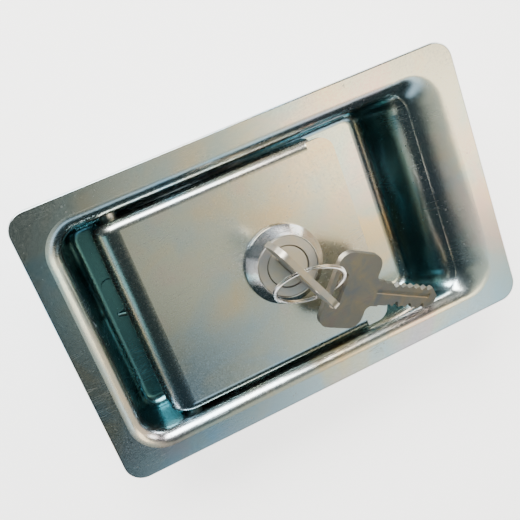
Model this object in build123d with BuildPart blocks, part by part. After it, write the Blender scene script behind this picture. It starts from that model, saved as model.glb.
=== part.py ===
from build123d import *
import os
from math import cos, sin, radians, pi, hypot

os.makedirs("parts", exist_ok=True)

# ---------------------------------------------------------------- driving sizes, mm
# The part lies face up: +Z out of the face, X along, Y across, origin on the back of the flange.
sheet = 1.5
flange_length = 140.0
flange_width = 88.0
flange_corner = 6.0
well_length = 120.0
well_width = 68.0
well_corner = 7.0
well_depth = 20.0
rim_bend = 4.0
floor_bend = 3.0
wall_draft = 2.0
floor_corner = 5.0
# inner profile of the sloping grip end: distance below the face, distance from the centre line
ramp_profile = [(0.0, 60.0), (2.5, 54.5), (7.0, 49.0), (12.5, 44.8), (20.0, 42.0)]
ramp_wall = 1.0

running = 0.05
seat_gap = 0.02
weld_gap = 0.01

stud_pitch_x = 129.0
stud_pitch_y = 77.0
stud_radius = 2.5
stud_length = 15.0
stud_count = 4

hinge_x = -44.0
hinge_z = -8.0
pin_radius = 2.5
pin_head_radius = 4.2
pin_head_height = 1.6
pin_reach = 38.0
clip_thickness = 0.8
clip_radius = 4.6
groove_depth = 0.6
pin_side_play = 0.25

paddle_left = -50.5
paddle_right = 25.0
paddle_side_gap = 2.4
paddle_half = well_width / 2 - paddle_side_gap
paddle_top = 1.0
paddle_side_end = 18.5
paddle_side_bend = 3.0
paddle_side_depth = 7.5
paddle_ear_depth = 5.0
paddle_roll = 8.0
paddle_corner = 4.5
hem_length = 4.5
hem_thickness = 1.2
corner_notch = 5.0

lock_x = -2.0
barrel_radius = 9.5
barrel_flats = 16.0
barrel_bottom = -17.0
head_radius = 11.0
head_height = 1.5
face_ring_radius = 9.25
face_top = 6.0
bezel_radius = 12.25
bezel_shoulder = 2.5
plug_radius = 6.5
plug_face_drop = 0.4
plug_bottom = -18.4
keyway_width = 8.2
keyway_thickness = 2.1
keyway_depth = 22.6
thread_pitch = 1.5
thread_depth = 0.35
wafer_count = 5
wafer_first = 3.0
wafer_pitch = 2.8
wafer_thickness = 0.5
wafer_width = 5.2
wafer_length = 11.6
nut_across = 22.0
nut_thickness = 4.0
lock_washer_radius = 11.0
lock_washer_thickness = 1.0

cam_top = -20.9
cam_thickness = 2.0
cam_length = 16.0
cam_half_width = 5.0
cam_square = 6.6
cam_hub_radius = 5.4
boss_radius = 5.0
cam_washer_radius = 5.0
cam_washer_thickness = 0.8
screw_head_radius = 3.6
screw_head_height = 2.4
screw_radius = 2.0
screw_reach = 3.6

window_left = -21.0
window_right = 7.5
window_half = 7.6
window_corner = 3.0

lever_pivot_x = -32.0
lever_top = -20.8
lever_thickness = 2.0
lever_hub_radius = 8.0
lever_arm_half = 5.0
lever_hole_y = 22.0
lever_hole_radius = 2.6
lever_end_radius = 6.0
rivet_radius = 3.0
rivet_head_radius = 5.0
rivet_head_height = 1.4
lever_washer_radius = 7.0

tongue_left = -40.5
tongue_thickness = 3.0
tongue_low_y = 13.0
tongue_high_y = 18.0
tongue_bottom = -28.0
bracket_base_length = 16.0
bracket_thickness = 2.0
slot_left = -40.7
slot_right = -31.0
slot_low_y = 11.8
slot_high_y = 19.2

spring_wire = 0.6
spring_coil_radius = 3.9
spring_turns = 4.5
spring_up_leg = 3.6
spring_down_leg = 9.0
spring_bend_run = 1.5
spring_pitch = 1.5
spring_start_y = -6.0

return_wire = 0.4
return_coil_radius = 1.6
return_turns = 9
return_pitch = 0.9
return_hole_radius = 0.9
return_z = -24.8
anchor_x = -52.0
anchor_post = 5.8
return_y = 10.3
anchor_radius = 1.6
anchor_head_radius = 2.6

key_thickness = 1.8
key_bow_half_width = 12.5
key_bow_height = 15.5
key_bow_corner = 4.0
key_neck = 4.0
key_neck_width = 8.6
key_blade_width = 7.6
key_blade_length = 22.0
key_slot_length = 12.0
key_slot_width = 3.6
key_slot_edge = 1.5
key_turn = -65.0
key_tip_width = 2.4
key_tip_length = 3.0
key_groove_width = 1.6
key_groove_depth = 0.4
bit_count = 6
bit_depths = (1.1, 1.7, 0.8, 1.5, 1.0, 1.8)

ring_radius = 10.4
ring_wire = 0.6
ring_overlap = 0.05
ring_middle = (-0.2, -4.73, 15.23)
ring_axis = (0.191, 0.724, -0.663)
spare_slot_middle = (8.03, -10.73, 11.99)
spare_heading = -32.3
spare_dip = 12.4
spare_roll = 13.7

underside = sheet - well_depth - sheet
floor_top = sheet - well_depth
plate_under = paddle_top - sheet


def save(solid, label):
    """Label one finished solid and write its STEP file."""
    solid.part.label = label
    export_step(solid.part, "parts/" + label + ".step")


def inner_y(z):
    """Half width of the dish inside at height z."""
    return well_width / 2 - wall_draft * (sheet - z) / well_depth


def ramp_x(below):
    """Distance of the sloping end from the centre line at a distance below the face."""
    for (top, far), (low, near) in zip(ramp_profile, ramp_profile[1:]):
        if top <= below <= low:
            return far + (near - far) * (below - top) / (low - top)
    return ramp_profile[-1][1]


def dish_sections(grow, first, last, steps, bend_top, bend_low):
    """Rounded rectangles of the dish: left, right, half width, corner radius, height."""
    found = []
    for step in range(steps + 1):
        turn = pi / 2 * step / steps
        if bend_top:
            below = bend_top * (1 - sin(turn))
            spread = bend_top * (1 - cos(turn))
        elif bend_low:
            below = well_depth - bend_low * (1 - sin(turn))
            spread = -bend_low * (1 - cos(turn))
        else:
            below = first + (last - first) * step / steps
            spread = 0
        share = below / well_depth
        left = -well_length / 2 + wall_draft * share - grow - spread
        right = ramp_x(below) + (ramp_wall if grow else 0) + spread
        half = well_width / 2 - wall_draft * share + grow + spread
        corner = well_corner + (floor_corner - well_corner) * share + grow + spread
        found.append((left, right, half, corner, sheet - below - grow))
    return found


def key_outline():
    """Flat outline of a key, slot centre at the origin, blade pointing along -Y."""
    bow_end = key_slot_edge + key_slot_width / 2
    shoulder = bow_end - key_bow_height - key_neck
    blade_half = key_blade_width / 2
    pitch = (key_blade_length - 2 * key_tip_length) / bit_count
    with BuildSketch() as outline:
        with Locations((0, bow_end - key_bow_height / 2)):
            RectangleRounded(2 * key_bow_half_width, key_bow_height, key_bow_corner)
        with Locations((0, bow_end - key_bow_height + key_neck / 2)):
            Rectangle(
                key_neck_width, key_neck + key_neck / 2, align=(Align.CENTER, Align.MAX)
            )
        inner = outline.vertices().filter_by(
            lambda v: abs(abs(v.X) - key_neck_width / 2) < 0.01
            and abs(v.Y - bow_end + key_bow_height) < 0.01
        )
        fillet(inner, key_neck / 2)
        with Locations((0, shoulder)):
            Rectangle(
                key_blade_width,
                key_blade_length - key_tip_length,
                align=(Align.CENTER, Align.MAX),
            )
        with BuildLine():
            Polyline(
                (-blade_half, shoulder - key_blade_length + key_tip_length),
                (-key_tip_width / 2, shoulder - key_blade_length),
                (key_tip_width / 2, shoulder - key_blade_length),
                (blade_half, shoulder - key_blade_length + key_tip_length),
                close=True,
            )
        make_face()
        # cuts for the wafers, alternating from edge to edge
        for index, depth in enumerate(bit_depths):
            level = shoulder - key_tip_length - pitch * index
            for side in (-1, 1):
                cut = depth if side == (-1) ** index else depth / 2
                with BuildLine():
                    Polyline(
                        (side * blade_half, level),
                        (side * (blade_half - cut), level - pitch * 0.35),
                        (side * (blade_half - cut), level - pitch * 0.6),
                        (side * blade_half, level - pitch * 0.95),
                        close=True,
                    )
                make_face(mode=Mode.SUBTRACT)
        SlotOverall(key_slot_length, key_slot_width, mode=Mode.SUBTRACT)
    return outline.sketch


# ---------------------------------------------------------------- pan
with BuildPart() as pan:
    with BuildSketch(Plane.XY):
        RectangleRounded(flange_length, flange_width, flange_corner)
    extrude(amount=sheet)
    # outside of the dish: bend under the rim, walls, bend round the floor
    for left, far, half, corner, height in dish_sections(sheet, 0, 0, 4, rim_bend - sheet, 0):
        with BuildSketch(Plane.XY.offset(height)):
            with Locations(((left + far) / 2, 0)):
                RectangleRounded(far - left, 2 * half, corner)
    loft()
    for left, far, half, corner, height in dish_sections(
        sheet, rim_bend - sheet, well_depth - floor_bend - sheet, 4, 0, 0
    ):
        with BuildSketch(Plane.XY.offset(height)):
            with Locations(((left + far) / 2, 0)):
                RectangleRounded(far - left, 2 * half, corner)
    loft()
    for left, far, half, corner, height in dish_sections(sheet, 0, 0, 4, 0, floor_bend + sheet):
        with BuildSketch(Plane.XY.offset(height)):
            with Locations(((left + far) / 2, 0)):
                RectangleRounded(far - left, 2 * half, corner)
    loft()
    # inside of the dish: the same three stretches
    for left, far, half, corner, height in dish_sections(0, 0, 0, 5, rim_bend, 0):
        with BuildSketch(Plane.XY.offset(height)):
            with Locations(((left + far) / 2, 0)):
                RectangleRounded(far - left, 2 * half, corner)
    loft(mode=Mode.SUBTRACT)
    for left, far, half, corner, height in dish_sections(
        0, rim_bend, well_depth - floor_bend, 4, 0, 0
    ):
        with BuildSketch(Plane.XY.offset(height)):
            with Locations(((left + far) / 2, 0)):
                RectangleRounded(far - left, 2 * half, corner)
    loft(mode=Mode.SUBTRACT)
    for left, far, half, corner, height in dish_sections(0, 0, 0, 4, 0, floor_bend):
        with BuildSketch(Plane.XY.offset(height)):
            with Locations(((left + far) / 2, 0)):
                RectangleRounded(far - left, 2 * half, corner)
    loft(mode=Mode.SUBTRACT)
    # outer edge of the flange is slightly rounded in front
    outer = pan.edges().filter_by(
        lambda e: abs(e.bounding_box().min.Z - sheet) < 0.01
        and (abs(e.center().X) > flange_length / 2 - 2 or abs(e.center().Y) > flange_width / 2 - 2)
    )
    fillet(outer, sheet / 3)
    # window for the lock cam, slot for the tongue
    with BuildSketch(Plane.XY.offset(floor_top + sheet / 2)):
        with Locations(((window_left + window_right) / 2, 0)):
            RectangleRounded(window_right - window_left, 2 * window_half, window_corner)
        with Locations(((slot_left + slot_right) / 2, (slot_low_y + slot_high_y) / 2)):
            RectangleRounded(slot_right - slot_left, slot_high_y - slot_low_y, sheet)
    extrude(amount=2 * sheet, both=True, mode=Mode.SUBTRACT)
    # hinge pin holes, rivet holes
    with Locations(Plane.XZ.offset(-flange_width / 2)):
        with Locations((hinge_x, hinge_z)):
            Cylinder(pin_radius + running, 2 * flange_width, mode=Mode.SUBTRACT)
    with BuildSketch(Plane.XY.offset(floor_top + sheet / 2)):
        with Locations((lever_pivot_x, 0)):
            Circle(rivet_radius + weld_gap)
        with Locations((anchor_x, return_y)):
            Circle(anchor_radius + weld_gap)
    extrude(amount=2 * sheet, both=True, mode=Mode.SUBTRACT)
save(pan, "pan")

# ---------------------------------------------------------------- mounting studs
# straight studs, stood on the back of the flange
with BuildPart() as studs:
    with GridLocations(stud_pitch_x, stud_pitch_y, 2, 2):
        Cylinder(stud_radius, stud_length, align=(Align.CENTER, Align.CENTER, Align.MAX))
    chamfer(studs.faces().sort_by(Axis.Z)[:stud_count].edges(), stud_radius / 4)
save(studs, "mounting_studs")

# ---------------------------------------------------------------- hinge pin and its clip
pin_wall = inner_y(hinge_z + clip_radius) + sheet + pin_side_play
with BuildPart() as hinge_pin:
    with BuildSketch(Plane.XZ.offset(pin_wall)):
        with Locations((hinge_x, hinge_z)):
            Circle(pin_radius)
    extrude(amount=-(pin_wall + pin_reach))
    with BuildSketch(Plane.XZ.offset(pin_wall)):
        with Locations((hinge_x, hinge_z)):
            Circle(pin_head_radius)
    extrude(amount=pin_head_height)
    rim = hinge_pin.edges().filter_by(
        lambda e: abs(e.center().Y + pin_wall + pin_head_height) < 0.01
    )
    fillet(rim, pin_head_height / 3)
    # groove for the clip
    with BuildSketch(Plane.XZ.offset(-pin_wall)):
        with Locations((hinge_x, hinge_z)):
            Circle(pin_radius + 1)
            Circle(pin_radius - groove_depth, mode=Mode.SUBTRACT)
    extrude(amount=-(clip_thickness + 2 * running), mode=Mode.SUBTRACT)
save(hinge_pin, "hinge_pin")

with BuildPart() as hinge_clip:
    with BuildSketch(Plane.XZ.offset(-(pin_wall + running))):
        with Locations((hinge_x, hinge_z)):
            Circle(clip_radius)
            Circle(pin_radius - groove_depth + seat_gap, mode=Mode.SUBTRACT)
            with Locations((0, -clip_radius)):
                Rectangle(2 * pin_radius - 2 * groove_depth, 2 * clip_radius, mode=Mode.SUBTRACT)
            with PolarLocations(clip_radius, 3, start_angle=30):
                Circle(clip_radius / 4, mode=Mode.SUBTRACT)
    extrude(amount=-clip_thickness)
save(hinge_clip, "hinge_clip")

# ---------------------------------------------------------------- paddle
ear_bottom = hinge_z - paddle_ear_depth
side_bottom = paddle_top - paddle_side_depth
body_length = paddle_side_end - paddle_left
ear_end = hinge_x + paddle_ear_depth + sheet
with BuildPart() as paddle:
    with Locations((paddle_left, 0, ear_bottom)):
        Box(
            body_length,
            2 * paddle_half,
            paddle_top - ear_bottom,
            align=(Align.MIN, Align.CENTER, Align.MIN),
        )
    roll_edge = paddle.edges().filter_by(
        lambda e: abs(e.center().X - paddle_left) < 0.01 and abs(e.center().Z - paddle_top) < 0.01
    )
    fillet(roll_edge, paddle_roll)
    long_edges = paddle.edges().filter_by(
        lambda e: abs(abs(e.center().Y) - paddle_half) < 0.01
        and e.center().Z > ear_bottom + 1
        and e.center().X < paddle_side_end - 1
    )
    fillet(long_edges, paddle_side_bend)
    open_faces = paddle.faces().filter_by(
        lambda f: abs(f.center().Z - ear_bottom) < 0.01 or abs(f.center().X - paddle_side_end) < 0.01
    )
    offset(amount=-sheet, openings=list(open_faces))
    # sides are shallow except for the two ears that hold the pin
    with BuildSketch(Plane.XZ):
        with Locations(((ear_end + paddle_right) / 2, side_bottom - flange_corner)):
            RectangleRounded(paddle_right - ear_end, 2 * flange_corner, sheet)
        with Locations((paddle_left, side_bottom - flange_corner)):
            Rectangle(2 * sheet + seat_gap, 2 * flange_corner)
    extrude(amount=paddle_half + 1, both=True, mode=Mode.SUBTRACT)
    # relief notches where the end flap meets the sides
    with BuildSketch(Plane.XY.offset(ear_bottom)):
        for side in (-1, 1):
            with Locations((paddle_left, side * paddle_half)):
                Rectangle(2 * sheet + corner_notch / 4, corner_notch)
    extrude(amount=paddle_ear_depth + sheet * 2, mode=Mode.SUBTRACT)
    # flat grip end with rounded corners and a folded hem
    with BuildSketch(Plane.XY.offset(plate_under)):
        with Locations((paddle_side_end - sheet, 0)):
            Rectangle(
                paddle_right - paddle_side_end + sheet,
                2 * paddle_half - sheet,
                align=(Align.MIN, Align.CENTER),
            )
    extrude(amount=sheet)
    grip_corners = paddle.edges().filter_by(
        lambda e: abs(e.center().X - paddle_right) < 0.01 and abs(abs(e.center().Y) - paddle_half + sheet / 2) < 0.01
    )
    fillet(grip_corners, paddle_corner)
    with BuildSketch(Plane.XY.offset(plate_under)):
        with Locations((paddle_right, 0)):
            Rectangle(
                hem_length,
                2 * (paddle_half - paddle_corner - sheet),
                align=(Align.MAX, Align.CENTER),
            )
    extrude(amount=-hem_thickness)
    hem_edge = paddle.edges().filter_by(
        lambda e: abs(e.center().X - paddle_right) < 0.01
        and abs(e.center().Z - plate_under + hem_thickness) < 0.01
    )
    fillet(hem_edge, hem_thickness * 0.8)
    # double-D hole for the lock barrel
    with BuildSketch(Plane.XY.offset(plate_under)):
        with Locations((lock_x, 0)):
            Circle(barrel_radius + running)
            Rectangle(
                4 * barrel_radius, barrel_flats + 2 * running, mode=Mode.INTERSECT
            )
    extrude(amount=2 * sheet, both=True, mode=Mode.SUBTRACT)
    with BuildSketch(Plane.XZ):
        with Locations((hinge_x, hinge_z)):
            Circle(pin_radius + running)
    extrude(amount=paddle_half + 1, both=True, mode=Mode.SUBTRACT)
save(paddle, "paddle")

# ---------------------------------------------------------------- tongue bracket under the paddle
tongue_middle = (tongue_low_y + tongue_high_y) / 2
tongue_width = tongue_high_y - tongue_low_y
bracket_top = plate_under - weld_gap
with BuildPart() as tail_bracket:
    with BuildSketch(Plane.XY.offset(bracket_top)):
        with Locations((tongue_left, tongue_middle)):
            Rectangle(
                bracket_base_length, 2 * tongue_width, align=(Align.MIN, Align.CENTER)
            )
    extrude(amount=-bracket_thickness)
    base_corners = tail_bracket.edges().filter_by(Axis.Z).filter_by(
        lambda e: e.center().X > tongue_left + 1
    )
    fillet(base_corners, sheet * 2)
    with BuildSketch(Plane.YZ.offset(tongue_left)):
        with Locations((tongue_middle, bracket_top)):
            Rectangle(
                tongue_width, bracket_top - tongue_bottom, align=(Align.CENTER, Align.MAX)
            )
        with Locations((tongue_middle, bracket_top)):
            Rectangle(
                2 * tongue_width, bracket_thickness * 2, align=(Align.CENTER, Align.MAX)
            )
    extrude(amount=tongue_thickness)
    tongue_tip = tail_bracket.edges().filter_by(Axis.X).filter_by(
        lambda e: abs(e.center().Z - tongue_bottom) < 0.01
    )
    fillet(tongue_tip, sheet)
    bend = tail_bracket.edges().filter_by(Axis.Y).filter_by(
        lambda e: abs(e.center().Z - bracket_top) < 0.01 and abs(e.center().X - tongue_left) < 0.01
    )
    fillet(bend, bracket_thickness)
save(tail_bracket, "tail_bracket")

# ---------------------------------------------------------------- rod lever, its rivet and washer
with BuildPart() as rod_lever:
    with BuildSketch(Plane.XY.offset(lever_top)):
        with Locations((lever_pivot_x, 0)):
            Circle(lever_hub_radius)
            Rectangle(2 * lever_arm_half, 2 * lever_hole_y)
        with Locations((lever_pivot_x, lever_hole_y), (lever_pivot_x, -lever_hole_y)):
            Circle(lever_end_radius)
    extrude(amount=-lever_thickness)
    hub_corners = rod_lever.edges().filter_by(Axis.Z).filter_by(
        lambda e: abs(e.center().Y) < lever_hub_radius
    )
    fillet(hub_corners, sheet)
    with BuildSketch(Plane.XY.offset(lever_top)):
        with Locations((lever_pivot_x, 0)):
            Circle(rivet_radius + running)
        with Locations((lever_pivot_x, lever_hole_y), (lever_pivot_x, -lever_hole_y)):
            Circle(lever_hole_radius)
        with Locations((lever_pivot_x, return_y)):
            Circle(return_hole_radius)
    extrude(amount=-2 * lever_thickness, mode=Mode.SUBTRACT)
save(rod_lever, "rod_lever")

with BuildPart() as lever_washer:
    with BuildSketch(Plane.XY.offset(underside - seat_gap)):
        with Locations((lever_pivot_x, 0)):
            Circle(lever_washer_radius)
            Circle(rivet_radius + running, mode=Mode.SUBTRACT)
    extrude(amount=-(underside - lever_top - 2 * seat_gap))
save(lever_washer, "lever_washer")

rivet_low = lever_top - lever_thickness - running
with BuildPart() as lever_rivet:
    with BuildSketch(Plane.XY.offset(floor_top + seat_gap)):
        with Locations((lever_pivot_x, 0)):
            Circle(rivet_radius)
    extrude(amount=rivet_low - floor_top - seat_gap)
    with BuildSketch(Plane.XY.offset(floor_top + seat_gap)):
        with Locations((lever_pivot_x, 0)):
            Circle(rivet_head_radius)
    extrude(amount=rivet_head_height)
    with BuildSketch(Plane.XY.offset(rivet_low)):
        with Locations((lever_pivot_x, 0)):
            Circle(rivet_head_radius)
    extrude(amount=-rivet_head_height)
    domes = lever_rivet.edges().filter_by(GeomType.CIRCLE).filter_by(
        lambda e: abs(e.center().Z - floor_top - seat_gap - rivet_head_height) < 0.01
        or abs(e.center().Z - rivet_low + rivet_head_height) < 0.01
    )
    fillet(domes, rivet_head_height * 0.8)
save(lever_rivet, "lever_pivot_rivet")

# ---------------------------------------------------------------- return spring of the lever
with BuildPart() as anchor:
    with BuildSketch(Plane.XY.offset(floor_top + seat_gap)):
        with Locations((anchor_x, return_y)):
            Circle(anchor_radius)
    extrude(amount=-(sheet + anchor_post))
    with BuildSketch(Plane.XY.offset(floor_top + seat_gap)):
        with Locations((anchor_x, return_y)):
            Circle(anchor_head_radius)
    extrude(amount=anchor_radius / 2)
    with BuildSketch(Plane.XY.offset(floor_top + seat_gap - sheet - anchor_post)):
        with Locations((anchor_x, return_y)):
            Circle(anchor_head_radius)
    extrude(amount=-anchor_radius / 2)
save(anchor, "spring_anchor")

coil_length = return_turns * return_pitch
coil_start = (anchor_x + lever_pivot_x) / 2 - coil_length / 2
anchor_loop = anchor_radius + return_wire + running
with BuildPart() as return_spring:
    with BuildLine() as coil_path:
        Helix(
            return_pitch,
            coil_length,
            return_coil_radius,
            center=(coil_start, return_y, return_z),
            direction=(1, 0, 0),
        )
    with BuildSketch(Plane(coil_path.line @ 0, z_dir=coil_path.line % 0)):
        Circle(return_wire)
    sweep(is_frenet=True)
    # loop round the anchor post, then a straight run to the coil
    with Locations((anchor_x, return_y, return_z)):
        Torus(anchor_loop, return_wire)
    with Locations(Plane(origin=(anchor_x + anchor_loop, return_y, return_z), z_dir=(1, 0, 0))):
        Cylinder(
            return_wire,
            coil_start - anchor_x - anchor_loop,
            align=(Align.CENTER, Align.CENTER, Align.MIN),
        )
    with Locations((coil_start, return_y, return_z)):
        Cylinder(return_wire, return_coil_radius, rotation=(90, 0, 0), align=(Align.CENTER, Align.CENTER, Align.MIN))
    # straight run to the lever, then the hook through its hole
    with Locations(Plane(origin=(coil_start + coil_length, return_y, return_z), z_dir=(1, 0, 0))):
        Cylinder(
            return_wire,
            lever_pivot_x - coil_start - coil_length,
            align=(Align.CENTER, Align.CENTER, Align.MIN),
        )
    with Locations((coil_start + coil_length, return_y, return_z)):
        Cylinder(return_wire, return_coil_radius, rotation=(90, 0, 0), align=(Align.CENTER, Align.CENTER, Align.MIN))
    with Locations((lever_pivot_x, return_y, return_z - return_wire)):
        Cylinder(
            return_wire,
            lever_top - return_z + return_wire / 2,
            align=(Align.CENTER, Align.CENTER, Align.MIN),
        )
save(return_spring, "lever_return_spring")

# ---------------------------------------------------------------- torsion spring on the hinge pin
torsion_length = spring_turns * spring_pitch
with BuildPart() as torsion_spring:
    with BuildLine() as torsion_path:
        Helix(
            spring_pitch,
            torsion_length,
            spring_coil_radius,
            center=(hinge_x, spring_start_y, hinge_z),
            direction=(0, 1, 0),
        )
    with BuildSketch(Plane(torsion_path.line @ 0, z_dir=torsion_path.line % 0)):
        Circle(spring_wire)
    sweep(is_frenet=True)
    # one leg presses up under the rolled end, the other bends down to the dish floor
    start = torsion_path.line @ 0
    end = torsion_path.line @ 1
    end_way = torsion_path.line % 1
    with Locations(Plane(origin=start, z_dir=-(torsion_path.line % 0))):
        Cylinder(spring_wire, spring_up_leg, align=(Align.CENTER, Align.CENTER, Align.MIN))
    with Locations(Plane(origin=end, z_dir=end_way)):
        Cylinder(spring_wire, spring_bend_run, align=(Align.CENTER, Align.CENTER, Align.MIN))
    elbow = end + end_way * spring_bend_run
    leg_drop = elbow.Z - floor_top - spring_wire - 2 * running
    leg_run = spring_down_leg - spring_bend_run
    with Locations(Plane(origin=elbow, z_dir=(-leg_run, 0, -leg_drop))):
        Cylinder(
            spring_wire,
            hypot(leg_run, leg_drop),
            align=(Align.CENTER, Align.CENTER, Align.MIN),
        )
        Sphere(spring_wire)
save(torsion_spring, "torsion_spring")

# ---------------------------------------------------------------- lock barrel with its head
with BuildPart() as lock_body:
    with BuildSketch(Plane.XY.offset(paddle_top + seat_gap)):
        with Locations((lock_x, 0)):
            Circle(head_radius)
    extrude(amount=head_height)
    with BuildSketch(Plane.XY.offset(paddle_top + seat_gap)):
        with Locations((lock_x, 0)):
            Circle(face_ring_radius)
    extrude(amount=face_top - paddle_top - seat_gap)
    face_edge = lock_body.edges().filter_by(lambda e: abs(e.center().Z - face_top) < 0.01)
    chamfer(face_edge, seat_gap * 10)
    with BuildSketch(Plane.XY.offset(paddle_top + seat_gap)):
        with Locations((lock_x, 0)):
            Circle(barrel_radius)
            Rectangle(4 * barrel_radius, barrel_flats, mode=Mode.INTERSECT)
    extrude(amount=barrel_bottom - paddle_top - seat_gap)
    # thread grooves on the round sides below the nut seat
    thread_count = int((plate_under - barrel_bottom) / thread_pitch) - 1
    for turn_number in range(thread_count):
        with BuildSketch(Plane.XY.offset(plate_under - thread_pitch * (turn_number + 1))):
            with Locations((lock_x, 0)):
                Circle(barrel_radius + 1)
                Circle(barrel_radius - thread_depth, mode=Mode.SUBTRACT)
        extrude(amount=-thread_pitch / 2, mode=Mode.SUBTRACT)
    with BuildSketch(Plane.XY.offset(face_top)):
        with Locations((lock_x, 0)):
            Circle(plug_radius + running)
    extrude(amount=barrel_bottom - face_top, mode=Mode.SUBTRACT)
save(lock_body, "lock_body")

with BuildPart() as lock_bezel:
    with BuildSketch(Plane.XY.offset(paddle_top + seat_gap)):
        with Locations((lock_x, 0)):
            Circle(bezel_radius)
    extrude(amount=bezel_shoulder - paddle_top - seat_gap)
    with BuildSketch(Plane.XY.offset(bezel_shoulder)):
        with Locations((lock_x, 0)):
            Circle(bezel_radius)
    with BuildSketch(Plane.XY.offset(face_top)):
        with Locations((lock_x, 0)):
            Circle(face_ring_radius + seat_gap * 15)
    loft()
    with BuildSketch(Plane.XY.offset(paddle_top)):
        with Locations((lock_x, 0)):
            Circle(head_radius + running)
    extrude(amount=head_height + 2 * seat_gap, mode=Mode.SUBTRACT)
    with BuildSketch(Plane.XY.offset(paddle_top)):
        with Locations((lock_x, 0)):
            Circle(face_ring_radius + running)
    extrude(amount=face_top, mode=Mode.SUBTRACT)
    foot = lock_bezel.edges().filter_by(GeomType.CIRCLE).filter_by(
        lambda e: abs(e.radius - bezel_radius) < 0.01
    )
    fillet(foot, seat_gap * 15)
save(lock_bezel, "lock_bezel")

with BuildPart() as lock_washer:
    with BuildSketch(Plane.XY.offset(plate_under - seat_gap)):
        with Locations((lock_x, 0)):
            Circle(lock_washer_radius)
            Circle(barrel_radius + running, mode=Mode.SUBTRACT)
            with PolarLocations(lock_washer_radius, 12):
                Circle(lock_washer_thickness * 0.7, mode=Mode.SUBTRACT)
    extrude(amount=-lock_washer_thickness)
save(lock_washer, "lock_washer")

nut_top = plate_under - 2 * seat_gap - lock_washer_thickness
with BuildPart() as lock_nut:
    with BuildSketch(Plane.XY.offset(nut_top)):
        with Locations((lock_x, 0)):
            RegularPolygon(nut_across / 2, 6, major_radius=False)
    extrude(amount=-nut_thickness)
    with BuildSketch(Plane.XY.offset(nut_top)):
        with Locations((lock_x, 0)):
            Circle(nut_across / 2)
    with BuildSketch(Plane.XY.offset(nut_top - nut_thickness)):
        with Locations((lock_x, 0)):
            Circle(nut_across / 2 + nut_thickness)
    loft(mode=Mode.INTERSECT)
    with BuildSketch(Plane.XY.offset(nut_top)):
        with Locations((lock_x, 0)):
            Circle(barrel_radius + running)
    extrude(amount=-nut_thickness, mode=Mode.SUBTRACT)
save(lock_nut, "lock_nut")

# ---------------------------------------------------------------- plug with its wafers
turn = radians(key_turn)
along_key = Vector(cos(turn), sin(turn), 0)
across_key = Vector(sin(turn), -cos(turn), 0)
plug_top = face_top - plug_face_drop
keyway_bottom = face_top - keyway_depth
wafer_levels = [plug_top - wafer_first - wafer_pitch * index for index in range(wafer_count)]
with BuildPart() as lock_plug:
    with BuildSketch(Plane.XY.offset(plug_top)):
        with Locations((lock_x, 0)):
            Circle(plug_radius)
    extrude(amount=plug_bottom - plug_top)
    plug_edge = lock_plug.edges().filter_by(lambda e: abs(e.center().Z - plug_top) < 0.01)
    chamfer(plug_edge, plug_face_drop)
    with BuildSketch(Plane.XY.offset(plug_bottom)):
        with Locations((lock_x, 0)):
            Circle(boss_radius)
    extrude(amount=cam_top - plug_bottom)
    with BuildSketch(Plane.XY.offset(cam_top)):
        with Locations((lock_x, 0)):
            Rectangle(cam_square, cam_square)
    extrude(amount=-cam_thickness)
    with BuildSketch(Plane.XY.offset(plug_top)):
        with Locations((lock_x, 0)):
            Rectangle(keyway_width, keyway_thickness, rotation=key_turn)
    extrude(amount=keyway_bottom - plug_top, mode=Mode.SUBTRACT)
    for level in wafer_levels:
        with BuildSketch(Plane.XY.offset(level)):
            with Locations((lock_x, 0)):
                Rectangle(3 * plug_radius, wafer_width + 4 * running, rotation=key_turn)
        extrude(amount=wafer_thickness + 2 * running, both=True, mode=Mode.SUBTRACT)
    with BuildSketch(Plane.XY.offset(cam_top - cam_thickness)):
        with Locations((lock_x, 0)):
            Circle(screw_radius + weld_gap)
    extrude(amount=screw_reach + running, mode=Mode.SUBTRACT)
save(lock_plug, "lock_plug")

with BuildPart() as wafers:
    for level in wafer_levels:
        with BuildSketch(Plane.XY.offset(level)):
            with Locations((lock_x, 0)):
                Rectangle(wafer_length, wafer_width, rotation=key_turn)
                Rectangle(keyway_width, keyway_thickness, rotation=key_turn, mode=Mode.SUBTRACT)
        extrude(amount=wafer_thickness, both=True)
save(wafers, "wafer_tumblers")

# ---------------------------------------------------------------- cam, washer and screw
with BuildPart() as lock_cam:
    with BuildSketch(Plane.XY.offset(cam_top - seat_gap)):
        with Locations((lock_x, 0)):
            Circle(cam_hub_radius)
            Rectangle(
                cam_length - cam_half_width,
                2 * cam_half_width,
                align=(Align.MAX, Align.CENTER),
            )
        with Locations((lock_x - cam_length + cam_half_width, 0)):
            Circle(cam_half_width)
        with Locations((lock_x, 0)):
            Rectangle(
                cam_square + 2 * running, cam_square + 2 * running, mode=Mode.SUBTRACT
            )
    extrude(amount=-(cam_thickness - 2 * seat_gap))
    tip_edges = lock_cam.edges().filter_by(
        lambda e: abs(e.center().Z - cam_top + seat_gap) < 0.01
        and e.center().X < lock_x - cam_length / 2
        and abs(e.center().Y) < 1
    )
    chamfer(tip_edges, cam_thickness / 4)
save(lock_cam, "lock_cam")

with BuildPart() as cam_washer:
    with BuildSketch(Plane.XY.offset(cam_top - cam_thickness - seat_gap)):
        with Locations((lock_x, 0)):
            Circle(cam_washer_radius)
            Circle(screw_radius + running, mode=Mode.SUBTRACT)
    extrude(amount=-cam_washer_thickness)
save(cam_washer, "cam_washer")

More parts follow.
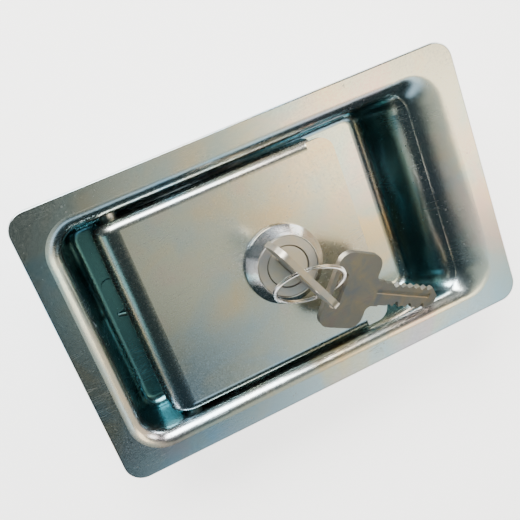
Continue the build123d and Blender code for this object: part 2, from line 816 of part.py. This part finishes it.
screw_seat = cam_top - cam_thickness - 2 * seat_gap - cam_washer_thickness
with BuildPart() as cam_screw:
    with BuildSketch(Plane.XY.offset(screw_seat)):
        with Locations((lock_x, 0)):
            Circle(screw_radius)
    extrude(amount=screw_reach + cam_washer_thickness)
    with BuildSketch(Plane.XY.offset(screw_seat)):
        with Locations((lock_x, 0)):
            Circle(screw_head_radius)
    extrude(amount=-screw_head_height)
    head_rim = cam_screw.edges().filter_by(
        lambda e: abs(e.center().Z - screw_seat + screw_head_height) < 0.01
    )
    fillet(head_rim, screw_head_height / 3)
    with BuildSketch(Plane.XY.offset(screw_seat - screw_head_height)):
        with Locations((lock_x, 0)):
            Rectangle(screw_radius * 2, screw_radius / 2)
            Rectangle(screw_radius / 2, screw_radius * 2)
    extrude(amount=screw_head_height / 2, mode=Mode.SUBTRACT)
save(cam_screw, "cam_screw")

# ---------------------------------------------------------------- the two keys and their ring
slot_level = face_top + key_neck + key_bow_height - key_slot_edge - key_slot_width / 2
key_plane = Plane(origin=(lock_x, 0, slot_level), x_dir=along_key, z_dir=across_key)
heading = radians(spare_heading)
dip = radians(spare_dip)
blade_way = Vector(cos(heading) * cos(dip), sin(heading) * cos(dip), -sin(dip))
level_way = Vector(-sin(heading), cos(heading), 0)
upper_way = blade_way.cross(level_way)
width_way = level_way * cos(radians(spare_roll)) + upper_way * sin(radians(spare_roll))
spare_plane = Plane(
    origin=spare_slot_middle, x_dir=width_way, z_dir=width_way.cross(blade_way * -1)
)
key_shape = key_outline()
blade_start = key_slot_edge + key_slot_width / 2 - key_bow_height - key_neck / 2
groove_length = key_blade_length + key_neck / 2 - key_tip_length

with BuildPart() as key:
    with BuildSketch(key_plane):
        add(key_shape)
    extrude(amount=key_thickness / 2, both=True)
    for side in (-1, 1):
        with BuildSketch(key_plane.offset(side * key_thickness / 2)):
            with Locations((side * key_groove_width / 2, blade_start)):
                Rectangle(key_groove_width, groove_length, align=(Align.CENTER, Align.MAX))
        extrude(amount=key_groove_depth, both=True, mode=Mode.SUBTRACT)
save(key, "key")

with BuildPart() as spare_key:
    with BuildSketch(spare_plane):
        add(key_shape)
    extrude(amount=key_thickness / 2, both=True)
    for side in (-1, 1):
        with BuildSketch(spare_plane.offset(side * key_thickness / 2)):
            with Locations((side * key_groove_width / 2, blade_start)):
                Rectangle(key_groove_width, groove_length, align=(Align.CENTER, Align.MAX))
        extrude(amount=key_groove_depth, both=True, mode=Mode.SUBTRACT)
save(spare_key, "spare_key")

ring_plane = Plane(origin=ring_middle, z_dir=ring_axis)
with BuildPart() as key_ring:
    for side in (-1, 1):
        with Locations(ring_plane.offset(side * (ring_wire - ring_overlap))):
            Torus(ring_radius, ring_wire)
save(key_ring, "key_ring")
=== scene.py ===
import math

import bpy
from mathutils import Matrix, Vector


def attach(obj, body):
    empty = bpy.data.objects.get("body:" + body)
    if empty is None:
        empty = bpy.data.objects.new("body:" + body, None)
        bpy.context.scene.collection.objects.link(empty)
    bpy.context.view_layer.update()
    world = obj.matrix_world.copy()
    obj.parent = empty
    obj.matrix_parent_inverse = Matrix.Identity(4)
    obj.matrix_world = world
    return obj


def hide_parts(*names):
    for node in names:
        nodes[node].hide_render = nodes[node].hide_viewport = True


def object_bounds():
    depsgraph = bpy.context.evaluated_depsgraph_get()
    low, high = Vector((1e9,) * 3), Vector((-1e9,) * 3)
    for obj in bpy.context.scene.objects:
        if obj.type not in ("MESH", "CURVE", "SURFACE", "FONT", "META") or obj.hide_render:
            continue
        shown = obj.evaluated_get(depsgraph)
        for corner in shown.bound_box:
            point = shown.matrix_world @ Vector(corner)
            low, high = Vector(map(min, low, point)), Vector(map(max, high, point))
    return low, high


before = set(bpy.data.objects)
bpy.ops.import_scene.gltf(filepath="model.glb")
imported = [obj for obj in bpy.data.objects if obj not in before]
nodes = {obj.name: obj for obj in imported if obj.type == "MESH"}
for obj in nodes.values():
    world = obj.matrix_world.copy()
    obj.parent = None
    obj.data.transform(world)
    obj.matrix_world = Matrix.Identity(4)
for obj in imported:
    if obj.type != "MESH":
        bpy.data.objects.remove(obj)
size_at_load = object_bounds()

# ---- camera ---------------------------------------------------------------------------
# Stands over the hinge end and looks down at the face, turned so that the long side leans
# up to the right and the finger well is at the far end.
camera_data = bpy.data.cameras.new("camera")
camera_data.lens = 47.77
camera_data.sensor_width = 36.0
camera_data.clip_start = 0.01
camera = bpy.data.objects.new("camera", camera_data)
bpy.context.scene.collection.objects.link(camera)
camera_right = Vector((0.89616, -0.34850, 0.27468))
camera_up = Vector((0.40608, 0.89366, -0.19100))
camera_back = camera_right.cross(camera_up).normalized()
camera_place = Vector((-0.04516, 0.06214, 0.19502))
camera_turn = Matrix((camera_right, camera_up, camera_back)).transposed().to_4x4()
camera.matrix_world = Matrix.Translation(camera_place) @ camera_turn
bpy.context.scene.camera = camera

# ---- floor ----------------------------------------------------------------------------
# A plain pale sheet on a light table, a hair below the lowest point of the latch. The tint
# drifts very slightly, as paper does.
floor_width = 4.0
floor_gap = 0.0006


def mottled(label, dark, light, patch, rough):
    """A plain finish whose tone drifts a little between two shades."""
    material = bpy.data.materials.new(label)
    material.use_nodes = True
    tree = material.node_tree
    shader = tree.nodes["Principled BSDF"]
    shader.inputs["Roughness"].default_value = rough
    place = tree.nodes.new("ShaderNodeTexCoord")
    noise = tree.nodes.new("ShaderNodeTexNoise")
    noise.inputs["Scale"].default_value = patch
    tint = tree.nodes.new("ShaderNodeValToRGB")
    tint.color_ramp.elements[0].color = dark
    tint.color_ramp.elements[1].color = light
    tree.links.new(place.outputs["Object"], noise.inputs["Vector"])
    tree.links.new(noise.outputs["Fac"], tint.inputs["Fac"])
    tree.links.new(tint.outputs["Color"], shader.inputs["Base Color"])
    return material


bpy.ops.object.select_all(action="DESELECT")
bpy.ops.mesh.primitive_plane_add(
    size=floor_width, location=(0, 0, size_at_load[0][2] - floor_gap))
floor = bpy.context.active_object
floor.name = "floor"
floor_paper = mottled(
    "floor_paper", dark=(0.92, 0.92, 0.92, 1), light=(0.95, 0.95, 0.95, 1), patch=3.0, rough=0.9)
paper_shader = floor_paper.node_tree.nodes["Principled BSDF"]
paper_shader.inputs["Emission Color"].default_value = (1, 1, 1, 1)
paper_shader.inputs["Emission Strength"].default_value = 2.2
floor.data.materials.append(floor_paper)

# ---- light ----------------------------------------------------------------------------
# A straw-coloured card overhead, on the grip side only, gives the face its middle tone and
# leaves the hinge end dark. A cream window, a warm wall and cool cards tint the bends, and the
# far lamps light the floor.
world = bpy.data.worlds.new("room")
bpy.context.scene.world = world
world.use_nodes = True
room_air = world.node_tree.nodes["Background"]
room_air.inputs["Color"].default_value = (0.07, 0.17, 0.20, 1)
room_air.inputs["Strength"].default_value = 0.22
for name, place, aim, width, height, power, colour in (
    ("overhead_card", (0.29, -0.15, 0.74), (0.10, 0, 0), 0.60, 0.66, 1.00, (1.0, 0.97, 0.76)),
    ("cream_window", (0.44, -0.12, 0.66), (0.03, 0, 0), 0.24, 0.50, 1.70, (1.0, 0.74, 0.44)),
    ("warm_wall", (0.85, -0.05, 0.40), (0, 0, 0), 1.10, 0.75, 3.60, (1.0, 0.76, 0.52)),
    ("near_window", (0.15, -0.46, 0.62), (0.02, 0, 0), 0.60, 0.20, 0.60, (0.62, 0.84, 1.0)),
    ("left_teal_card", (-0.62, -0.12, 0.10), (0.03, 0, -0.01), 0.14, 0.30, 0.16,
     (0.40, 0.86, 0.95)),
    ("left_low_lamp", (-0.85, 0.00, 0.10), (0, 0, 0), 0.80, 0.12, 0.25, (0.95, 0.98, 1.0)),
    ("far_lamp", (-0.20, 0.75, 0.55), (0, 0, 0), 0.80, 0.45, 25.0, (1.0, 0.99, 0.97)),
    ("right_lamp", (0.95, 0.60, 0.45), (0, 0, 0), 0.45, 0.80, 8.0, (1.0, 0.97, 0.93)),
):
    lamp_data = bpy.data.lights.new(name, "AREA")
    lamp_data.shape = "RECTANGLE"
    lamp_data.size = width
    lamp_data.size_y = height
    lamp_data.energy = power
    lamp_data.color = colour
    lamp = bpy.data.objects.new(name, lamp_data)
    bpy.context.scene.collection.objects.link(lamp)
    lamp.location = place
    lamp.rotation_euler = (Vector(aim) - Vector(place)).to_track_quat("-Z", "Y").to_euler()

# ---- pan ------------------------------------------------------------------------------
# The dish and its flange are one blank of steel, deep drawn in a press and then plated with
# bright zinc, which dries in faint blue, straw and pink clouds. Handling pits and scratches it.


def fade(tree, low, high, start=0.0, end=1.0):
    """A map range node that goes from start to end while its value goes from low to high."""
    node = tree.nodes.new("ShaderNodeMapRange")
    node.inputs["From Min"].default_value = low
    node.inputs["From Max"].default_value = high
    node.inputs["To Min"].default_value = start
    node.inputs["To Max"].default_value = end
    return node


def combine(tree, operation, second=None, kind="ShaderNodeMath"):
    """A math node, with its second input fixed when one is given."""
    node = tree.nodes.new(kind)
    node.operation = operation
    if second is not None:
        node.inputs[1].default_value = second
    return node


clouds = bpy.data.node_groups.new("plating_clouds", "ShaderNodeTree")
for label, kind in (
    ("Plate", "NodeSocketColor"),
    ("Straw", "NodeSocketColor"),
    ("Blue", "NodeSocketColor"),
    ("Pink", "NodeSocketColor"),
    ("Patch Scale", "NodeSocketFloat"),
):
    clouds.interface.new_socket(name=label, in_out="INPUT", socket_type=kind)
clouds.interface.new_socket(name="Color", in_out="OUTPUT", socket_type="NodeSocketColor")
cloud_in = clouds.nodes.new("NodeGroupInput")
cloud_out = clouds.nodes.new("NodeGroupOutput")
cloud_at = clouds.nodes.new("ShaderNodeTexCoord")
cloud_last = cloud_in.outputs["Plate"]
for tint, shift, low, high in (
    ("Straw", (0.31, 0.17, 0.05), 0.47, 0.66),
    ("Blue", (0.83, 0.42, 0.11), 0.49, 0.68),
    ("Pink", (0.12, 0.95, 0.37), 0.55, 0.74),
):
    cloud_shift = combine(clouds, "ADD", shift, kind="ShaderNodeVectorMath")
    cloud_noise = clouds.nodes.new("ShaderNodeTexNoise")
    cloud_noise.inputs["Detail"].default_value = 4.0
    cloud_noise.inputs["Distortion"].default_value = 0.7
    cloud_edge = fade(clouds, low=low, high=high)
    cloud_mix = clouds.nodes.new("ShaderNodeMix")
    cloud_mix.data_type = "RGBA"
    clouds.links.new(cloud_at.outputs["Object"], cloud_shift.inputs[0])
    clouds.links.new(cloud_shift.outputs["Vector"], cloud_noise.inputs["Vector"])
    clouds.links.new(cloud_in.outputs["Patch Scale"], cloud_noise.inputs["Scale"])
    clouds.links.new(cloud_noise.outputs["Fac"], cloud_edge.inputs["Value"])
    clouds.links.new(cloud_edge.outputs["Result"], cloud_mix.inputs["Factor"])
    clouds.links.new(cloud_last, cloud_mix.inputs["A"])
    clouds.links.new(cloud_in.outputs[tint], cloud_mix.inputs["B"])
    cloud_last = cloud_mix.outputs["Result"]
clouds.links.new(cloud_last, cloud_out.inputs["Color"])

wear = bpy.data.node_groups.new("handling_wear", "ShaderNodeTree")
for way, label, kind in (
    ("INPUT", "Color", "NodeSocketColor"),
    ("INPUT", "Roughness", "NodeSocketFloat"),
    ("INPUT", "Grain Scale", "NodeSocketFloat"),
    ("INPUT", "Pit Scale", "NodeSocketFloat"),
    ("INPUT", "Depth", "NodeSocketFloat"),
    ("OUTPUT", "Color", "NodeSocketColor"),
    ("OUTPUT", "Roughness", "NodeSocketFloat"),
    ("OUTPUT", "Normal", "NodeSocketVector"),
):
    wear.interface.new_socket(name=label, in_out=way, socket_type=kind)
wear_in = wear.nodes.new("NodeGroupInput")
wear_out = wear.nodes.new("NodeGroupOutput")
wear_at = wear.nodes.new("ShaderNodeTexCoord")
grain = wear.nodes.new("ShaderNodeTexNoise")
grain.inputs["Detail"].default_value = 6.0
grain_rough = fade(wear, low=0.0, high=1.0, start=-0.08, end=0.08)
pits = wear.nodes.new("ShaderNodeTexVoronoi")
pit_edge = fade(wear, low=0.10, high=0.22, start=1.0, end=0.0)
pit_where = wear.nodes.new("ShaderNodeTexNoise")
pit_where.inputs["Scale"].default_value = 160.0
pit_few = fade(wear, low=0.60, high=0.70)
pit_mask = combine(wear, "MULTIPLY")
scratch_turn = wear.nodes.new("ShaderNodeMapping")
scratch_turn.inputs["Rotation"].default_value = (0, 0, math.radians(64))
scratch_turn.inputs["Scale"].default_value = (30, 520, 90)
scratches = wear.nodes.new("ShaderNodeTexVoronoi")
scratches.feature = "DISTANCE_TO_EDGE"
scratches.inputs["Scale"].default_value = 1.0
scratch_edge = fade(wear, low=0.0, high=0.022, start=1.0, end=0.0)
scratch_where = wear.nodes.new("ShaderNodeTexNoise")
scratch_where.inputs["Scale"].default_value = 70.0
scratch_few = fade(wear, low=0.57, high=0.68)
scratch_mask = combine(wear, "MULTIPLY")
marks = combine(wear, "MAXIMUM")
mark_share = combine(wear, "MULTIPLY", 0.30)
darker = wear.nodes.new("ShaderNodeMix")
darker.data_type = "RGBA"
darker.inputs["B"].default_value = (0.20, 0.19, 0.17, 1)
mark_rough = combine(wear, "MULTIPLY_ADD", 0.18)
rough_sum = combine(wear, "ADD")
rough_sum.use_clamp = True
height = combine(wear, "MULTIPLY_ADD", -0.15)
relief = wear.nodes.new("ShaderNodeBump")
relief.inputs["Distance"].default_value = 0.00006
for source, target in (
    (wear_at.outputs["Object"], grain.inputs["Vector"]),
    (wear_in.outputs["Grain Scale"], grain.inputs["Scale"]),
    (grain.outputs["Fac"], grain_rough.inputs["Value"]),
    (wear_at.outputs["Object"], pits.inputs["Vector"]),
    (wear_in.outputs["Pit Scale"], pits.inputs["Scale"]),
    (pits.outputs["Distance"], pit_edge.inputs["Value"]),
    (wear_at.outputs["Object"], pit_where.inputs["Vector"]),
    (pit_where.outputs["Fac"], pit_few.inputs["Value"]),
    (pit_edge.outputs["Result"], pit_mask.inputs[0]),
    (pit_few.outputs["Result"], pit_mask.inputs[1]),
    (wear_at.outputs["Object"], scratch_turn.inputs["Vector"]),
    (scratch_turn.outputs["Vector"], scratches.inputs["Vector"]),
    (scratches.outputs["Distance"], scratch_edge.inputs["Value"]),
    (wear_at.outputs["Object"], scratch_where.inputs["Vector"]),
    (scratch_where.outputs["Fac"], scratch_few.inputs["Value"]),
    (scratch_edge.outputs["Result"], scratch_mask.inputs[0]),
    (scratch_few.outputs["Result"], scratch_mask.inputs[1]),
    (pit_mask.outputs["Value"], marks.inputs[0]),
    (scratch_mask.outputs["Value"], marks.inputs[1]),
    (marks.outputs["Value"], mark_share.inputs[0]),
    (mark_share.outputs["Value"], darker.inputs["Factor"]),
    (wear_in.outputs["Color"], darker.inputs["A"]),
    (darker.outputs["Result"], wear_out.inputs["Color"]),
    (marks.outputs["Value"], mark_rough.inputs[0]),
    (grain_rough.outputs["Result"], mark_rough.inputs[2]),
    (mark_rough.outputs["Value"], rough_sum.inputs[0]),
    (wear_in.outputs["Roughness"], rough_sum.inputs[1]),
    (rough_sum.outputs["Value"], wear_out.inputs["Roughness"]),
    (marks.outputs["Value"], height.inputs[0]),
    (grain.outputs["Fac"], height.inputs[2]),
    (height.outputs["Value"], relief.inputs["Height"]),
    (wear_in.outputs["Depth"], relief.inputs["Strength"]),
    (relief.outputs["Normal"], wear_out.inputs["Normal"]),
):
    wear.links.new(source, target)


def plated_metal(label, plate, straw, blue, pink, patch, rough, grain_scale, pit_scale, depth):
    """A plated or bare metal finish: cloudy tints, then grain, pits and scratches over them."""
    metal = bpy.data.materials.new(label)
    metal.use_nodes = True
    tree = metal.node_tree
    shader = tree.nodes["Principled BSDF"]
    shader.inputs["Metallic"].default_value = 1.0
    tint = tree.nodes.new("ShaderNodeGroup")
    tint.node_tree = clouds
    used = tree.nodes.new("ShaderNodeGroup")
    used.node_tree = wear
    for socket, colour in (("Plate", plate), ("Straw", straw), ("Blue", blue), ("Pink", pink)):
        tint.inputs[socket].default_value = (*colour, 1)
    tint.inputs["Patch Scale"].default_value = patch
    used.inputs["Roughness"].default_value = rough
    used.inputs["Grain Scale"].default_value = grain_scale
    used.inputs["Pit Scale"].default_value = pit_scale
    used.inputs["Depth"].default_value = depth
    tree.links.new(tint.outputs["Color"], used.inputs["Color"])
    for socket, target in (
        ("Color", "Base Color"), ("Roughness", "Roughness"), ("Normal", "Normal")):
        tree.links.new(used.outputs[socket], shader.inputs[target])
    return metal


def finish_with(metal, *names):
    """Give the named solids one finish."""
    for name in names:
        nodes[name].data.materials.clear()
        nodes[name].data.materials.append(metal)


pan_zinc_with_painted_shade = plated_metal(
    "pan_zinc_with_painted_shade",
    plate=(0.52, 0.58, 0.58), straw=(0.72, 0.60, 0.40),
    blue=(0.38, 0.56, 0.66), pink=(0.66, 0.52, 0.54), patch=24.0, rough=0.24,
    grain_scale=1500.0, pit_scale=600.0, depth=0.04)
# Painted shade: inside the dish the steep drawn walls below the rim and the floor at the hinge end
# are mixed towards a deep blue-green that stands in for the shade there.
wall_tree = pan_zinc_with_painted_shade.node_tree
wall_at = wall_tree.nodes.new("ShaderNodeTexCoord")
wall_place = wall_tree.nodes.new("ShaderNodeSeparateXYZ")
wall_slope = wall_tree.nodes.new("ShaderNodeSeparateXYZ")
wall_depth = fade(wall_tree, low=-0.0015, high=-0.0055)
wall_steep = fade(wall_tree, low=0.88, high=0.60)
wall_mask = combine(wall_tree, "MULTIPLY")
wall_level = combine(wall_tree, "MULTIPLY", (1, 1, 0), kind="ShaderNodeVectorMath")
wall_facing = combine(wall_tree, "DOT_PRODUCT", kind="ShaderNodeVectorMath")
wall_inside = fade(wall_tree, low=0.001, high=-0.004)
wall_both = combine(wall_tree, "MULTIPLY")
corner_end = fade(wall_tree, low=-0.042, high=-0.050)
corner_low = fade(wall_tree, low=-0.012, high=-0.016)
hinge_end_shade_mask = combine(wall_tree, "MULTIPLY")
painted_shade_mask = combine(wall_tree, "MAXIMUM")
# Painted shade: the deep blue-green below is mixed in wherever the wall and hinge-end masks reach.
wall_painted_shade = wall_tree.nodes.new("ShaderNodeMix")
wall_painted_shade.data_type = "RGBA"
wall_painted_shade.inputs["B"].default_value = (0.10, 0.24, 0.27, 1)
wall_shader = wall_tree.nodes["Principled BSDF"]
wall_before = wall_shader.inputs["Base Color"].links[0].from_socket
for source, target in (
    (wall_at.outputs["Object"], wall_place.inputs["Vector"]),
    (wall_at.outputs["Normal"], wall_slope.inputs["Vector"]),
    (wall_place.outputs["Z"], wall_depth.inputs["Value"]),
    (wall_slope.outputs["Z"], wall_steep.inputs["Value"]),
    (wall_depth.outputs["Result"], wall_mask.inputs[0]),
    (wall_steep.outputs["Result"], wall_mask.inputs[1]),
    (wall_at.outputs["Object"], wall_level.inputs[0]),
    (wall_level.outputs["Vector"], wall_facing.inputs[0]),
    (wall_at.outputs["Normal"], wall_facing.inputs[1]),
    (wall_facing.outputs["Value"], wall_inside.inputs["Value"]),
    (wall_mask.outputs["Value"], wall_both.inputs[0]),
    (wall_inside.outputs["Result"], wall_both.inputs[1]),
    (wall_place.outputs["X"], corner_end.inputs["Value"]),
    (wall_place.outputs["Z"], corner_low.inputs["Value"]),
    (corner_end.outputs["Result"], hinge_end_shade_mask.inputs[0]),
    (corner_low.outputs["Result"], hinge_end_shade_mask.inputs[1]),
    (wall_both.outputs["Value"], painted_shade_mask.inputs[0]),
    (hinge_end_shade_mask.outputs["Value"], painted_shade_mask.inputs[1]),
    (painted_shade_mask.outputs["Value"], wall_painted_shade.inputs["Factor"]),
    (wall_before, wall_painted_shade.inputs["A"]),
    (wall_painted_shade.outputs["Result"], wall_shader.inputs["Base Color"]),
):
    wall_tree.links.new(source, target)
finish_with(pan_zinc_with_painted_shade, "pan")

# ---- mounting studs -------------------------------------------------------------------
# Four straight steel studs, welded to the back of the flange before plating so that nothing
# shows in front. Nuts behind the panel pull on them.
stud_zinc = plated_metal(
    "stud_zinc",
    plate=(0.60, 0.61, 0.60), straw=(0.68, 0.62, 0.48),
    blue=(0.50, 0.58, 0.64), pink=(0.62, 0.58, 0.57), patch=90.0, rough=0.34,
    grain_scale=1800.0, pit_scale=700.0, depth=0.12)
finish_with(stud_zinc, "mounting_studs")

# ---- hinge pin and clip ---------------------------------------------------------------
# A headed steel pin runs through both walls of the dish and the paddle's ears, and a sprung
# clip in a groove keeps it there. The pin is plated and the clip is blackened spring steel.
finish_with(stud_zinc, "hinge_pin")
clip_steel = plated_metal(
    "clip_steel",
    plate=(0.20, 0.20, 0.21), straw=(0.24, 0.22, 0.18),
    blue=(0.17, 0.19, 0.23), pink=(0.22, 0.20, 0.20), patch=160.0, rough=0.42,
    grain_scale=2600.0, pit_scale=900.0, depth=0.12)
finish_with(clip_steel, "hinge_clip")

# ---- paddle ---------------------------------------------------------------------------
# The handle is a second stamping in the same bright zinc, rolled over at the hinge end, bent
# down along the sides and hemmed where the fingers pull. It is a little greener than the dish.
paddle_zinc = plated_metal(
    "paddle_zinc",
    plate=(0.52, 0.55, 0.50), straw=(0.60, 0.53, 0.40),
    blue=(0.42, 0.52, 0.58), pink=(0.58, 0.50, 0.48), patch=34.0, rough=0.25,
    grain_scale=1600.0, pit_scale=520.0, depth=0.05)
finish_with(paddle_zinc, "paddle")

# ---- tongue bracket -------------------------------------------------------------------
# A bent steel strap spot welded under the paddle. Its tongue reaches through a slot in the
# dish and pushes the rod lever when the paddle is lifted.
finish_with(stud_zinc, "tail_bracket")

# ---- rod lever, washer and pivot rivet ------------------------------------------------
# A flat steel bar that turns on a shouldered rivet behind the dish, with a hole for a lock rod
# at each end. A nylon washer keeps it off the plating.
finish_with(stud_zinc, "rod_lever", "lever_pivot_rivet")
washer_nylon = mottled(
    "washer_nylon", dark=(0.62, 0.60, 0.55, 1), light=(0.72, 0.71, 0.66, 1), patch=300.0, rough=0.5)
finish_with(washer_nylon, "lever_washer")

# ---- springs --------------------------------------------------------------------------
# The coil on the hinge pin lays the paddle flat again, and the long one behind the dish draws
# the lever back to its post. Both are drawn spring wire; the post is riveted to the dish
# before plating and shares its finish.
spring_steel = plated_metal(
    "spring_steel",
    plate=(0.36, 0.36, 0.37), straw=(0.40, 0.37, 0.30),
    blue=(0.30, 0.34, 0.40), pink=(0.37, 0.34, 0.34), patch=120.0, rough=0.30,
    grain_scale=2400.0, pit_scale=1200.0, depth=0.06)
finish_with(spring_steel, "torsion_spring", "lever_return_spring")
finish_with(pan_zinc_with_painted_shade, "spring_anchor")

# ---- lock body, nut and star washer ---------------------------------------------------
# The cylinder's housing is cast zinc alloy with a fine thread and two flats. It drops through
# a hole of the same outline in the paddle and a steel nut and star washer hold it from below.
cast_zinc = plated_metal(
    "cast_zinc",
    plate=(0.42, 0.42, 0.41), straw=(0.46, 0.43, 0.37),
    blue=(0.38, 0.41, 0.44), pink=(0.44, 0.41, 0.40), patch=150.0, rough=0.42,
    grain_scale=3200.0, pit_scale=1500.0, depth=0.30)
finish_with(cast_zinc, "lock_body")
finish_with(stud_zinc, "lock_nut")
finish_with(clip_steel, "lock_washer")

# ---- lock bezel -----------------------------------------------------------------------
# A spun brass ring pressed round the head of the lock, polished and chromed. Its sloping
# band is the brightest thing on the latch.
bezel_chrome = plated_metal(
    "bezel_chrome",
    plate=(0.74, 0.75, 0.77), straw=(0.70, 0.68, 0.64),
    blue=(0.62, 0.66, 0.70), pink=(0.70, 0.68, 0.68), patch=200.0, rough=0.14,
    grain_scale=2600.0, pit_scale=1100.0, depth=0.30)
finish_with(bezel_chrome, "lock_bezel")

# ---- plug and wafers ------------------------------------------------------------------
# The plug that the key turns is cast with the keyway in it and nickel plated. Five sprung
# brass wafers stand in slots across it.
plug_nickel = plated_metal(
    "plug_nickel",
    plate=(0.46, 0.45, 0.42), straw=(0.50, 0.46, 0.38),
    blue=(0.40, 0.42, 0.44), pink=(0.46, 0.43, 0.41), patch=170.0, rough=0.36,
    grain_scale=3000.0, pit_scale=1500.0, depth=0.22)
finish_with(plug_nickel, "lock_plug")
wafer_brass = plated_metal(
    "wafer_brass",
    plate=(0.66, 0.50, 0.24), straw=(0.72, 0.56, 0.28),
    blue=(0.58, 0.46, 0.26), pink=(0.66, 0.46, 0.26), patch=150.0, rough=0.34,
    grain_scale=2200.0, pit_scale=1200.0, depth=0.10)
finish_with(wafer_brass, "wafer_tumblers")

# ---- cam, its washer and screw --------------------------------------------------------
# A stamped steel cam on the square end of the plug, held by a washer and screw. It swings
# under the floor of the dish to lock the paddle down.
finish_with(stud_zinc, "lock_cam", "cam_washer", "cam_screw")

# ---- keys -----------------------------------------------------------------------------
# Two stamped brass keys with a satin nickel plate that has gone a little grey and straw
# coloured from handling. The bow has a slot for the ring and the blade is cut for the wafers.
key_nickel = plated_metal(
    "key_nickel",
    plate=(0.42, 0.39, 0.33), straw=(0.52, 0.44, 0.30),
    blue=(0.34, 0.35, 0.35), pink=(0.44, 0.37, 0.32), patch=180.0, rough=0.42,
    grain_scale=1500.0, pit_scale=900.0, depth=0.30)
finish_with(key_nickel, "key", "spare_key")

# ---- key ring -------------------------------------------------------------------------
# A split ring of flattened steel wire, coiled twice round and nickel plated. Both of its
# turns show, and its cut ends lie on the side away from the keys.
ring_radius = 0.0104
ring_strand = 0.0006
ring_flat = 0.42
ring_rise = 0.0005
ring_turns = 2
ring_section_points = 16
ring_steps_per_turn = 96
ring_weld = 0.000002
ring_smooth_angle = math.radians(40)
ring_middle = Vector((-0.0002, -0.00473, 0.01523))
ring_axis = Vector((0.191, 0.724, -0.663)).normalized()
ring_cut_side = Vector((-0.57, 0.02, -0.50))
ring_cut = (ring_cut_side - ring_axis * ring_cut_side.dot(ring_axis)).normalized()
bpy.ops.object.select_all(action="DESELECT")
bpy.ops.mesh.primitive_circle_add(
    vertices=ring_section_points, radius=ring_strand, fill_type="NOTHING",
    location=(ring_radius, 0, 0), rotation=(math.radians(90), 0, 0))
split_ring = bpy.context.active_object
split_ring.name = "split_ring"
bpy.ops.object.mode_set(mode="EDIT")
bpy.ops.mesh.select_all(action="SELECT")
bpy.ops.transform.resize(value=(1, 1, ring_flat), orient_type="GLOBAL")
bpy.ops.transform.translate(value=(0, 0, -ring_rise))
bpy.ops.object.mode_set(mode="OBJECT")
bpy.ops.object.transform_apply(location=True, rotation=True, scale=True)
coil = split_ring.modifiers.new("coil", "SCREW")
coil.axis = "Z"
coil.angle = math.radians(360)
coil.screw_offset = ring_rise
coil.iterations = ring_turns
coil.steps = ring_steps_per_turn
coil.render_steps = ring_steps_per_turn
coil.use_merge_vertices = False
bpy.ops.object.modifier_apply(modifier=coil.name)
bpy.ops.object.mode_set(mode="EDIT")
bpy.ops.mesh.select_all(action="SELECT")
bpy.ops.mesh.remove_doubles(threshold=ring_weld)
bpy.ops.mesh.fill_holes(sides=0)
bpy.ops.mesh.select_all(action="SELECT")
bpy.ops.mesh.normals_make_consistent(inside=False)
bpy.ops.object.mode_set(mode="OBJECT")
ring_turn = Matrix((ring_cut, ring_axis.cross(ring_cut), ring_axis)).transposed().to_4x4()
split_ring.matrix_world = Matrix.Translation(ring_middle) @ ring_turn
bpy.ops.object.transform_apply(location=True, rotation=True, scale=True)
bpy.ops.object.shade_smooth_by_angle(angle=ring_smooth_angle)
ring_nickel = plated_metal(
    "ring_nickel",
    plate=(0.62, 0.60, 0.55), straw=(0.68, 0.60, 0.46),
    blue=(0.52, 0.55, 0.58), pink=(0.62, 0.56, 0.52), patch=170.0, rough=0.20,
    grain_scale=2400.0, pit_scale=1200.0, depth=0.08)
split_ring.data.materials.clear()
split_ring.data.materials.append(ring_nickel)
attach(split_ring, "key_ring")
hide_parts("key_ring")
